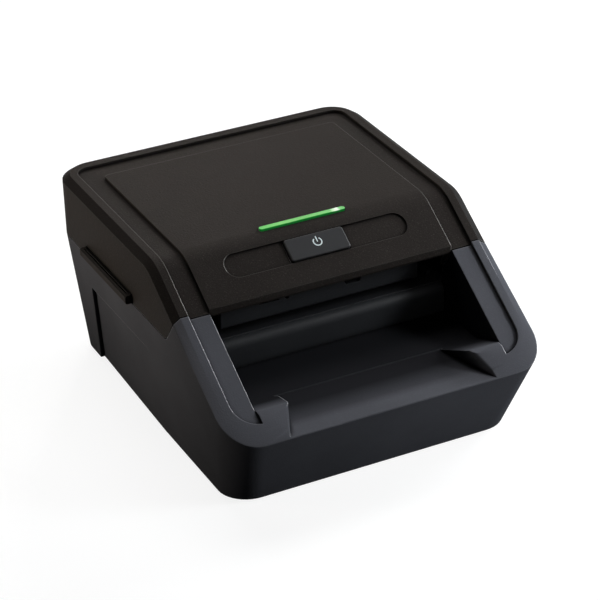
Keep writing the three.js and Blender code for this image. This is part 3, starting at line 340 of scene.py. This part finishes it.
def lens():
    """Smoky sensor window, glossy with faint dust and a violet coating."""
    material, tree, shader, place = new_material("sensor_window")
    dust = noise(tree, place, 0.8, 4)
    broad = noise(tree, place, 12, 3)
    tone = mix(tree, spread(tree, broad, 0, 1), colour(18, 16, 34), colour(34, 26, 54))
    feed(tree, shader, {
        "Base Color": mix(tree, spread(tree, dust, 0, 0.3, 0.55, 0.8), tone, colour(80, 80, 84)),
        "Roughness": spread(tree, dust, 0.05, 0.3, 0.4, 0.8),
        "Normal": bump(tree, dust, 0.1, 0.02),
    })
    return material


def printed_paint():
    """Pale printed ink, a little uneven and thin in spots."""
    material, tree, shader, place = new_material("symbol_ink")
    grit = noise(tree, place, 0.25, 3)
    feed(tree, shader, {
        "Base Color": mix(tree, spread(tree, grit, 0, 1), colour(176, 188, 190), colour(206, 216, 217)),
        "Roughness": spread(tree, grit, 0.45, 0.65),
        "Normal": bump(tree, grit, 0.2, 0.02),
    })
    return material


# Materials of the CAD nodes

def smooth_by_angle():
    """Geometry nodes that weld doubled points and keep only the edges above an angle sharp."""
    tree = bpy.data.node_groups.new("smooth_by_angle", "GeometryNodeTree")
    tree.interface.new_socket("Geometry", in_out="INPUT", socket_type="NodeSocketGeometry")
    tree.interface.new_socket("Geometry", in_out="OUTPUT", socket_type="NodeSocketGeometry")
    start = tree.nodes.new("NodeGroupInput")
    weld = tree.nodes.new("GeometryNodeMergeByDistance")
    weld.inputs["Distance"].default_value = 0.002 * MM
    angle = tree.nodes.new("GeometryNodeInputMeshEdgeAngle")
    sharp = tree.nodes.new("FunctionNodeCompare")
    sharp.inputs[1].default_value = SHARP_ANGLE
    faces = tree.nodes.new("GeometryNodeSetShadeSmooth")
    faces.domain = "FACE"
    edges = tree.nodes.new("GeometryNodeSetShadeSmooth")
    edges.domain = "EDGE"
    edges.inputs["Shade Smooth"].default_value = False
    end = tree.nodes.new("NodeGroupOutput")
    link = tree.links.new
    link(start.outputs[0], weld.inputs["Geometry"])
    link(weld.outputs[0], faces.inputs["Geometry"])
    link(faces.outputs[0], edges.inputs["Geometry"])
    link(angle.outputs["Unsigned Angle"], sharp.inputs[0])
    link(sharp.outputs[0], edges.inputs["Selection"])
    link(edges.outputs[0], end.inputs[0])
    return tree


smoothing = smooth_by_angle()


def dress(name, material):
    """Gives a CAD node its material, and a modifier that shades its round faces smooth."""
    piece = nodes[name]
    piece.data.materials.clear()
    piece.data.materials.append(material)
    piece.data.polygons.foreach_set("material_index", [0] * len(piece.data.polygons))
    piece.modifiers.new("smooth by angle", "NODES").node_group = smoothing


lid = plastic("lid_plastic", colour(36, 33, 31), colour(152, 148, 141), rough=0.58, grain=0.42,
              relief=0.5, specular=0.01, rounding=0.5, mottle=0.08, specks=1.1, shoulder=0.6, shine=0.85)
housing = plastic("housing_plastic", colour(72, 72.5, 77), colour(190, 192, 195), rough=0.5, grain=0.35,
                  relief=0.3, specular=0.0, rounding=0.6, mottle=0.06, specks=0.2, bay=True, shoulder=0.2,
                  shine=0.8)
button = plastic("button_plastic", colour(49, 49, 50), colour(112, 112, 114), rough=0.42, grain=0.3,
                 relief=0.15, specular=0.05, rounding=0.35, mottle=0.04)
inner = plastic("inner_plastic", colour(28, 29, 31), colour(44, 45, 48), rough=0.5, grain=0.6,
                relief=0.4, specular=0.12, rounding=0.25, mottle=0.08)
gear = plastic("gear_plastic", colour(44, 44, 47), colour(70, 70, 74), rough=0.42, grain=0.5,
               relief=0.2, specular=0.4, rounding=0.12, mottle=0.05)
steel = metal("shaft_steel", colour(172, 174, 178), 0.28, (40, 1500, 1500))
screw = metal("screw_steel", colour(150, 152, 156), 0.34, (1500, 1500, 60))
roller = rubber("roller_rubber", colour(30, 30, 31))
foot = rubber("foot_rubber", colour(24, 24, 25))
window = lens()

# A key that ends with an underscore stands for all the nodes whose names start with it
finishes = {
    "lid_shell": lid, "latch_": lid,
    "base_housing": housing, "bottom_plate": housing,
    "power_button": button,
    "light_bar": lit_bar(),
    "power_switch": inner, "lower_guide": inner, "upper_guide": inner, "dc_jack": inner,
    "lower_sensor": window, "upper_sensor": window,
    "gear_": gear, "idler_gear": gear, "motor_pinion": gear,
    "motor": steel, "magnetic_head": steel, "usb_port": steel,
    "drive_shaft_": steel, "pinch_shaft_": steel, "hinge_pin_": steel,
    "plate_screw_": screw,
    "drive_roller_": roller, "pinch_roller_": roller,
    "foot_": foot,
    "main_board": board("main_board_green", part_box("main_board")[0].z + 1.7 * MM),
    "lid_board": board("lid_board_green"),
}
for name in nodes:
    key = next(key for key in finishes if name == key or (key.endswith("_") and name.startswith(key)))
    dress(name, finishes[key])


# Standby symbol on the button

# From the middle of the button, across and up the slope
SYMBOL_SHIFT = Vector((0.35, 0.7)) * MM
RING_RADIUS = 1.5 * MM
RING_GAP = math.radians(84)
RING_STEPS = 30
BAR_HEIGHTS = (0.1 * MM, 1 * MM, 1.95 * MM)
STROKE_WIDTH = 0.42 * MM
STROKE_HEIGHT = 0.06 * MM
STROKE_SUNK = 0.04 * MM
CAP_STEPS = 6


def on_slope(across, up, out):
    """A point so far across from the middle of the crease, up along the slope and out of it."""
    return CREASE + Vector((across, 0, 0)) + ALONG * up + OUT * out


def button_face():
    """The middle of the button, across and up the slope, and how far its face stands out."""
    places = [vertex.co - CREASE for vertex in nodes["power_button"].data.vertices]
    across = [place.x for place in places]
    up = [place.dot(ALONG) for place in places]
    middle = Vector((min(across) + max(across), min(up) + max(up))) / 2
    return middle, max(place.dot(OUT) for place in places)


def half_circle(middle, start):
    """Points clockwise round the middle from a start point to the opposite one, both left out."""
    arm = start - middle
    for step in range(1, CAP_STEPS):
        angle = -math.pi * step / CAP_STEPS
        yield middle + Vector((arm.x * math.cos(angle) - arm.y * math.sin(angle),
                               arm.x * math.sin(angle) + arm.y * math.cos(angle)))


def raised_stroke(name, line, face):
    """A flat stroke with round ends along a line on the slope, standing out of a face at that height."""
    left, right = [], []
    for i, point in enumerate(line):
        run = (line[min(i + 1, len(line) - 1)] - line[max(i - 1, 0)]).normalized()
        across = Vector((-run.y, run.x)) * STROKE_WIDTH / 2
        left.append(point + across)
        right.append(point - across)
    ring = [*left, *half_circle(line[-1], left[-1]), *reversed(right), *half_circle(line[0], right[0])]
    mesh = bmesh.new()
    base = face - STROKE_SUNK
    low = [mesh.verts.new(on_slope(point.x, point.y, base)) for point in ring]
    high = [mesh.verts.new(on_slope(point.x, point.y, base + STROKE_HEIGHT)) for point in ring]
    for i in range(len(ring)):
        j = (i + 1) % len(ring)
        mesh.faces.new((low[i], low[j], high[j], high[i]))
    mesh.faces.new(high)
    mesh.faces.new(list(reversed(low)))
    bmesh.ops.recalc_face_normals(mesh, faces=mesh.faces)
    data = bpy.data.meshes.new(name)
    mesh.to_mesh(data)
    mesh.free()
    piece = bpy.data.objects.new(name, data)
    bpy.context.scene.collection.objects.link(piece)
    return piece


def ring_point(step):
    """A point of the ring, which is open at the top, from its middle."""
    angle = (math.pi + RING_GAP) / 2 + (2 * math.pi - RING_GAP) * step / RING_STEPS
    return Vector((math.cos(angle), math.sin(angle))) * RING_RADIUS


button_middle, face_height = button_face()
symbol = button_middle + SYMBOL_SHIFT
strokes = {
    "standby_ring": [symbol + ring_point(step) for step in range(RING_STEPS + 1)],
    "standby_bar": [symbol + Vector((0, up)) for up in BAR_HEIGHTS],
}
ink = printed_paint()
for name, line in strokes.items():
    stroke = raised_stroke(name, line, face_height)
    stroke.data.materials.append(ink)
    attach(stroke, "button")


# Floor, light and camera

# Half the floor's side, how far it lies below the feet, and the distances between which it grows white
FLOOR_HALF = 6
FLOOR_DROP = 0.2 * MM
FLOOR_GLOW_REACH = (0.25, 0.9)

# The camera's place, its turn to the right of straight ahead, its tilt down and its roll
CAMERA_PLACE = (-0.3195, -0.66, 0.4403)
CAMERA_TURN = math.radians(25.9765)
CAMERA_TILT = math.radians(28.8964)
CAMERA_ROLL = math.radians(-1.6828)
LENS_MM = 144
SENSOR_MM = 36

# Tints of the lamps
COOL = (0.93, 0.97, 1)
WARM = (1, 0.95, 0.9)
AMBER = (1, 0.925, 0.81)


def seen_directly(tree):
    """A value that is 1 for what the camera sees, also in a gloss or through glass, and 0 for other light."""
    path = node(tree, "LightPath").outputs
    seen = combine(tree, "MAXIMUM", path["Is Camera Ray"], path["Is Glossy Ray"])
    return combine(tree, "MAXIMUM", seen, path["Is Transmission Ray"])


def add_floor():
    """A pale floor that keeps the shadow, grows white with distance and throws little light up."""
    mesh = bpy.data.meshes.new("floor")
    corners = [(x * FLOOR_HALF, y * FLOOR_HALF, 0) for x, y in ((-1, -1), (1, -1), (1, 1), (-1, 1))]
    mesh.from_pydata(corners, [], [(0, 1, 2, 3)])
    floor = bpy.data.objects.new("floor", mesh)
    floor.location.z = -FLOOR_DROP
    bpy.context.scene.collection.objects.link(floor)
    material = bpy.data.materials.new("floor_white")
    material.use_nodes = True
    tree = material.node_tree
    tree.nodes.clear()
    seen = seen_directly(tree)
    matt = node(tree, "BsdfDiffuse", {"Color": spread(tree, seen, 0.05, 0.2, 0, 1)})
    place = node(tree, "TexCoord").outputs["Object"]
    away = node(tree, "VectorMath", {0: place}, operation="LENGTH").outputs["Value"]
    level = product(tree, seen, spread(tree, away, 0.86, 1, *FLOOR_GLOW_REACH))
    glow = node(tree, "Emission", {"Color": (1, 1, 1, 1), "Strength": level})
    both = node(tree, "AddShader", {0: matt.outputs[0], 1: glow.outputs[0]})
    node(tree, "OutputMaterial", {"Surface": both.outputs[0]})
    mesh.materials.append(material)


def add_world(strength):
    """Even fill light, with plain white where the camera or a gloss looks past the floor."""
    world = bpy.data.worlds.new("studio")
    world.use_nodes = True
    bpy.context.scene.world = world
    tree = world.node_tree
    tree.nodes.clear()
    level = spread(tree, seen_directly(tree), strength, 1, 0, 1)
    back = node(tree, "Background", {"Color": (1, 1, 1, 1), "Strength": level})
    node(tree, "OutputWorld", {"Surface": back.outputs[0]})


def add_light(name, *, place, target, size, power, cone=180, tint=(1, 1, 1)):
    """A soft rectangular lamp aimed at a point, whose light can be kept to a cone of so many degrees."""
    lamp = bpy.data.lights.new(name, "AREA")
    lamp.spread = math.radians(cone)
    lamp.color = tint
    lamp.shape = "RECTANGLE"
    lamp.size, lamp.size_y = size
    lamp.energy = power
    holder = bpy.data.objects.new(name, lamp)
    holder.location = place
    holder.rotation_euler = (Vector(target) - Vector(place)).to_track_quat("-Z", "Y").to_euler()
    bpy.context.scene.collection.objects.link(holder)


def add_camera():
    """The scene's camera, placed as the one that took the photograph."""
    camera = bpy.data.cameras.new("camera")
    camera.sensor_width = SENSOR_MM
    camera.lens = LENS_MM
    holder = bpy.data.objects.new("camera", camera)
    holder.matrix_world = (Matrix.Translation(CAMERA_PLACE) @ Matrix.Rotation(-CAMERA_TURN, 4, "Z")
                           @ Matrix.Rotation(math.pi / 2 - CAMERA_TILT, 4, "X")
                           @ Matrix.Rotation(CAMERA_ROLL, 4, "Z"))
    bpy.context.scene.collection.objects.link(holder)
    bpy.context.scene.camera = holder


add_floor()
add_world(0.02)
add_light("key_above_behind", place=(0.1, 0.45, 1.1), target=(0, 0, 0.04), size=(0.8, 0.6), power=8)
add_light("right_rear", place=(0.3, 0.6, 0.4), target=(-0.08, 0.03, 0.07), size=(0.15, 0.15), power=0.04,
          cone=16, tint=WARM)
add_light("low_left", place=(-0.45, 0.2, 0.16), target=(-0.06, 0.065, 0.062), size=(0.2, 0.04), power=0.05,
          cone=22, tint=AMBER)
add_light("right_front", place=(0.6, -0.45, 0.35), target=(0.2, -0.05, 0.05), size=(0.3, 0.3), power=0.55,
          cone=40, tint=COOL)
add_light("low_right", place=(0.4, 0.05, 0.16), target=(0.03, 0, 0.05), size=(0.2, 0.2), power=2.4, tint=COOL)
add_light("low_front", place=(-0.1, -0.9, 0.12), target=(0, -0.07, 0.03), size=(0.4, 0.2), power=0.115)
add_camera()
bpy.context.scene.view_settings.view_transform = "Standard"
